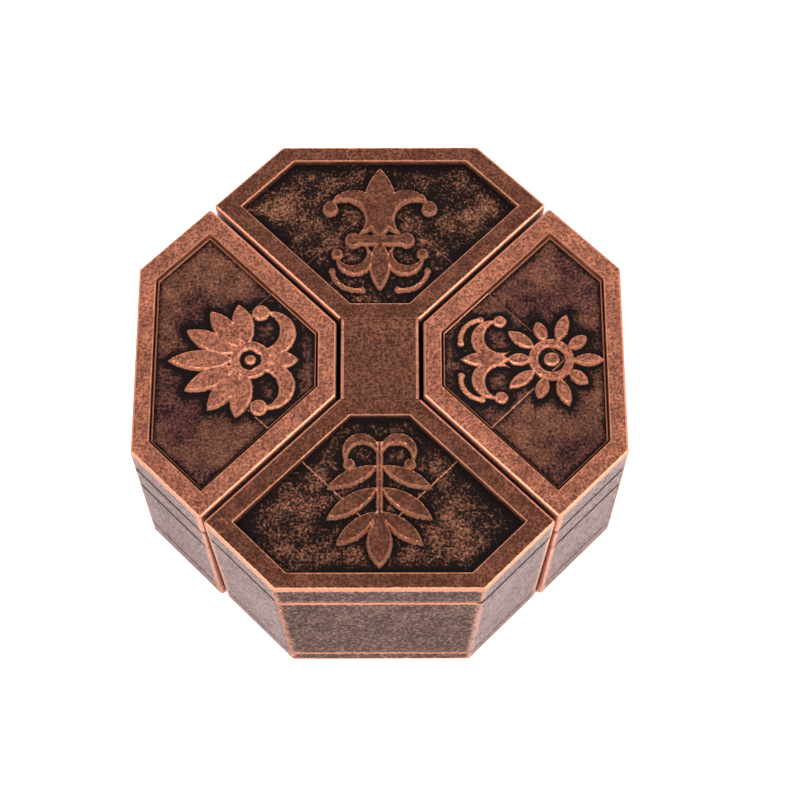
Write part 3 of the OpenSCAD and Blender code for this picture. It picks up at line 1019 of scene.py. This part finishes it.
class AddCap(Operator):
    """The bow-tie cap of the lifting half, with its bridge and hanging post"""

    bl_idname = "puzzle.add_cap"
    bl_label = "Cap"

    def execute(self, context):
        sizes = settings(context)
        parts = []
        for way, ornament, mark in (("north", lily, NORTH_MARK), ("south", sprig, SOUTH_MARK)):
            face = Face(sizes, sizes.panel_depth, ornament, top=0.1, marks=(mark,))
            draft = Draft(True, TIP, sizes)
            parts.append(facing(way, casting(draft, CAP_Z, HEIGHT, face, sizes.edge_round, plain_tip=True)))
        neck = sizes.neck
        reach = TIP + 0.16  # the bridge runs a little way into both blocks
        parts.append(rounded_box((-neck, -reach, CAP_Z), (neck, reach, HEIGHT - 0.12), 0.1))
        lip, inside = 0.3, 0.02
        lip_reach, lip_top = TIP + 0.05, HEIGHT - 0.03
        for x in (inside - neck, neck - lip - inside):
            low, high = (x, -lip_reach, CAP_Z + 1), (x + lip, lip_reach, lip_top)
            parts.append(rounded_box(low, high, 0.08, rub=0.7))
        piece = make_object("cap_casting", joined(parts), MATERIALS["cap"])
        hand_over(piece, "north_south_half", "ns_cap")
        post = make_post("cap_post", neck, POST_HIGH, CAP_Z + 0.5)
        bore(post, (-neck - 1, 0, HIGH_PIN_Z), (neck + 1, 0, HIGH_PIN_Z), SOCKET_R)
        hand_over(post, "north_south_half", "ns_cap")
        return {"FINISHED"}


class AddLiftLegs(Operator):
    """The legs and feet of the lifting half"""

    bl_idname = "puzzle.add_lift_legs"
    bl_label = "North and south legs"

    def execute(self, context):
        sizes = settings(context)
        for way in ("north", "south"):
            draft = Draft(True, TIP, sizes)
            leg = facing(way, casting(draft, FOOT_Z, CAP_Z, None, 0.3, SEAM_ROUND))
            piece = make_object(f"{way}_leg_casting", leg, MATERIALS["wall"])
            drill_for_pin(piece, way, LOW_PIN_Z)
            hand_over(piece, "north_south_half", f"{way}_leg")
            hollow = 0.5
            foot = facing(way, underside_casting(draft, 0.0, FOOT_Z, sizes, hollow))
            piece = make_object(f"{way}_foot_casting", foot, MATERIALS["rim"])
            hand_over(piece, "north_south_half", f"{way}_foot")
        return {"FINISHED"}


def drill_for_pin(piece, way, z):
    """The bore that a lock pin and its bush sit in."""
    a = math.radians(WAYS[way])
    along = Vector((-math.sin(a), math.cos(a), 0))
    up = Vector((0, 0, z))
    bore(piece, along * (TIP - 1) + up, along * (TIP + BORE_DEPTH) + up, BORE_R)


class Upturned:
    """A draft seen with the block turned over, so that its underside is built as a top face."""

    def __init__(self, draft, height):
        self.draft = draft
        self.height = height

    def corners(self, z, inset):
        return self.draft.corners(self.height - z, inset)


def underside_casting(draft, low, high, sizes, depth):
    """A block whose framed panel is on its underside."""
    face = Face(sizes, depth, diamond=False, grid=0.3)
    over = Upturned(draft, low + high)
    points, faces, wear = casting(over, low, high, face, UNDER_ROUND, SEAM_ROUND)
    points[:, 2] = low + high - points[:, 2]
    return points, [f[::-1] for f in faces], wear


class AddBase(Operator):
    """The bow-tie base of the standing half, with its bridge and post"""

    bl_idname = "puzzle.add_base"
    bl_label = "Base"

    def execute(self, context):
        sizes = settings(context)
        neck = sizes.neck
        parts = []
        for way in ("east", "west"):
            draft = Draft(False, TIP - 0.6, sizes)  # the base runs further in than the legs
            parts.append(facing(way, underside_casting(draft, 0.0, BASE_Z, sizes, sizes.panel_depth)))
        parts.append(rounded_box((-neck, -neck, 0.02), (neck, neck, BASE_Z), 0.1))
        piece = make_object("base_casting", joined(parts), MATERIALS["rim"])
        hand_over(piece, "east_west_half", "ew_base")
        post = make_post("base_post", neck, 0.5, POST_LOW)
        bore(post, (0, -neck - 1, LOW_PIN_Z), (0, neck + 1, LOW_PIN_Z), SOCKET_R)
        hand_over(post, "east_west_half", "ew_base")
        return {"FINISHED"}


class AddStandLegs(Operator):
    """The legs, risers and top frames of the standing half"""

    bl_idname = "puzzle.add_stand_legs"
    bl_label = "East and west legs"

    def execute(self, context):
        sizes = settings(context)
        for way in ("east", "west"):
            draft = Draft(False, TIP, sizes)
            leg = facing(way, casting(draft, BASE_Z, RISER_Z, None, SEAM_ROUND, SEAM_ROUND))
            piece = make_object(f"{way}_leg_casting", leg, MATERIALS["wall"])
            drill_for_pin(piece, way, HIGH_PIN_Z)
            hand_over(piece, "east_west_half", f"{way}_leg")
            riser = facing(way, casting(draft, RISER_Z, TOP_Z, None, SEAM_ROUND, SEAM_ROUND))
            piece = make_object(f"{way}_riser_casting", riser, MATERIALS["wall"])
            hand_over(piece, "east_west_half", f"{way}_riser")
            face = Face(sizes, HEIGHT - PLATE_Z)
            top = facing(way, casting(draft, TOP_Z, HEIGHT, face, sizes.edge_round, SEAM_ROUND))
            piece = make_object(f"{way}_top_frame", top, MATERIALS["rim"])
            hand_over(piece, "east_west_half", f"{way}_top")
        return {"FINISHED"}


class AddPlates(Operator):
    """The two inlaid plates of the standing half, with their ornaments"""

    bl_idname = "puzzle.add_plates"
    bl_label = "Inlaid plates"

    def execute(self, context):
        sizes = settings(context)
        for way, ornament in (("east", sun), ("west", shell)):
            outline = Fixed(*panel_values(sizes, sizes.inlay_groove))
            face = Face(sizes, sizes.inlay_depth, ornament, top=0.05, panel=False)
            plate = facing(way, casting(outline, PLATE_Z, HEIGHT, face, 0.12, 0.1))
            piece = make_object(f"{way}_inlay", plate, MATERIALS["plate"])
            hand_over(piece, "east_west_half", f"{way}_plate")
        return {"FINISHED"}


class AddLocks(Operator):
    """The four turned lock pins; the bushes and dowels keep their CAD shape"""

    bl_idname = "puzzle.add_locks"
    bl_label = "Lock pins"

    def execute(self, context):
        settings(context)
        for name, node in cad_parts.items():
            if "bush" in name:
                node.data.materials.clear()
                node.data.materials.append(MATERIALS["brass"])
            elif name.endswith("_dowels"):
                node.data.materials.clear()
                node.data.materials.append(MATERIALS["steel"])
        low, high = span("north_pin")
        head = 3.0
        values = {
            "Nose Length": float(high[1] - low[1] - head) * MM, "Nose Radius": 1.1 * MM,
            "Head Length": head * MM, "Head Radius": float(high[0] - low[0]) / 2 * MM,
            "Chamfer": 0.15 * MM, "Segments": 48, "Material": MATERIALS["steel"],
        }
        for way, turn in WAYS.items():
            z = LOW_PIN_Z if way in ("north", "south") else HIGH_PIN_Z
            matrix = Matrix.Rotation(math.radians(turn), 4, "Z")
            matrix = matrix @ Matrix.Translation(Vector((0, low[1], z)) * MM)
            matrix = matrix @ Matrix.Rotation(math.radians(-90), 4, "X")
            piece = turned_pin(f"{way}_lock_pin", values, matrix)
            hand_over(piece, f"{way}_pin", f"{way}_pin")
        return {"FINISHED"}


class AddStage(Operator):
    """The floor, the lights and the camera"""

    bl_idname = "puzzle.add_stage"
    bl_label = "Stage"

    def execute(self, context):
        scene = context.scene
        data = bpy.data.meshes.new("floor")
        half = 1.5
        corners = [(-half, -half, 0), (half, -half, 0), (half, half, 0), (-half, half, 0)]
        data.from_pydata(corners, [], [(0, 1, 2, 3)])
        floor = bpy.data.objects.new("floor", data)
        floor.data.materials.append(studio_paper("white_studio_card"))
        scene.collection.objects.link(floor)

        world = bpy.data.worlds.new("white_tent")
        world.use_nodes = True
        world.node_tree.nodes["Background"].inputs["Color"].default_value = (1, 1, 1, 1)
        world.node_tree.nodes["Background"].inputs["Strength"].default_value = 0.75
        scene.world = world
        scene.view_settings.view_transform = "Standard"

        lights = (  # name, place, width and watts
            ("key", (-0.25, -0.3, 0.5), 0.35, 5.0),
            ("fill", (0.4, -0.15, 0.3), 0.35, 2.5),
            ("back", (0.05, 0.5, 0.4), 0.4, 1.6),
        )
        for name, place, size, power in lights:
            lamp = bpy.data.lights.new(name, "AREA")
            lamp.shape = "DISK"
            lamp.size = size
            lamp.energy = power
            thing = bpy.data.objects.new(name, lamp)
            thing.location = place
            thing.rotation_euler = (-Vector(place)).to_track_quat("-Z", "Y").to_euler()
            scene.collection.objects.link(thing)

        elevation, turn, distance = math.radians(65.64), math.radians(-0.13), 210.5 * MM
        target = Vector((1.85 * MM, -4.19 * MM, HEIGHT * MM))
        back = Vector((
            math.sin(turn) * math.cos(elevation), -math.cos(turn) * math.cos(elevation), math.sin(elevation),
        ))
        lens = bpy.data.cameras.new("camera")
        lens.sensor_width = 36
        lens.lens = 104.0
        lens.clip_start = 0.01
        camera = bpy.data.objects.new("camera", lens)
        camera.location = target + back * distance
        camera.rotation_euler = (-back).to_track_quat("-Z", "Y").to_euler()
        scene.collection.objects.link(camera)
        scene.camera = camera
        return {"FINISHED"}


PIECES = (AddStage, AddCap, AddLiftLegs, AddBase, AddStandLegs, AddPlates, AddLocks)


class PuzzlePanel(Panel):
    """Sizes, colours and the pieces, in order"""

    bl_idname = "VIEW3D_PT_puzzle"
    bl_label = "Octagonal Lock Puzzle"
    bl_space_type = "VIEW_3D"
    bl_region_type = "UI"
    bl_category = "Puzzle"

    def draw(self, context):
        layout = self.layout
        for group in (context.scene.puzzle_sizes, context.scene.puzzle_colours):
            box = layout.box()
            for name in group.__annotations__:
                box.prop(group, name)
        for piece in PIECES:
            layout.operator(piece.bl_idname)


CLASSES = (PuzzleSizes, PuzzleColours, *PIECES, PuzzlePanel)


def register():
    for made in CLASSES:
        bpy.utils.register_class(made)
    bpy.types.Scene.puzzle_sizes = PointerProperty(type=PuzzleSizes)
    bpy.types.Scene.puzzle_colours = PointerProperty(type=PuzzleColours)


def unregister():
    del bpy.types.Scene.puzzle_colours
    del bpy.types.Scene.puzzle_sizes
    for made in reversed(CLASSES):
        bpy.utils.unregister_class(made)


def main():
    register()
    bpy.ops.puzzle.add_stage()
    bpy.ops.puzzle.add_cap()
    bpy.ops.puzzle.add_lift_legs()
    bpy.ops.puzzle.add_base()
    bpy.ops.puzzle.add_stand_legs()
    bpy.ops.puzzle.add_plates()
    bpy.ops.puzzle.add_locks()


if __name__ == "__main__":
    main()
